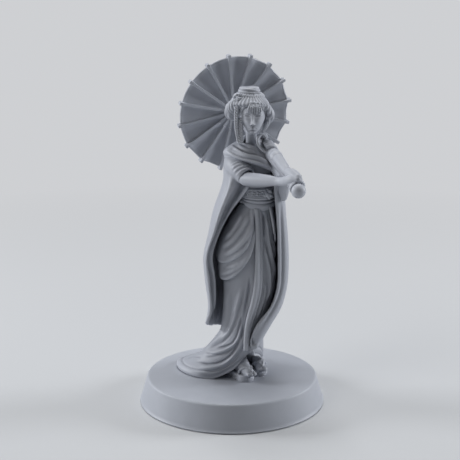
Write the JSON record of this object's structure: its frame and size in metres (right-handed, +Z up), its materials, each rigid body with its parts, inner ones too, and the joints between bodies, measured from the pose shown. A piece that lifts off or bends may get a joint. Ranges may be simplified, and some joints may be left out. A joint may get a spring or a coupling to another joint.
{
  "type": "figurine",
  "caption": "Standing figurine in a draped robe and long kimono with a train, holding a ribbed parasol over the shoulder, on a round tapered base.",
  "frame": {"origin": "centre of the round base's flat underside", "axes": "+Z up through the figure, +Y away from the viewer towards the parasol's canopy, +X to the viewer's right where the hands hold the pole"},
  "size_m": [0.025, 0.0254, 0.046],
  "materials": {
    "base_resin": "bare grey casting resin, matt",
    "figure_resin": "bare grey casting resin, matt"
  },
  "bodies": {
    "root": {"base": "base_resin", "figure": "figure_resin"}
  },
  "joints": []
}
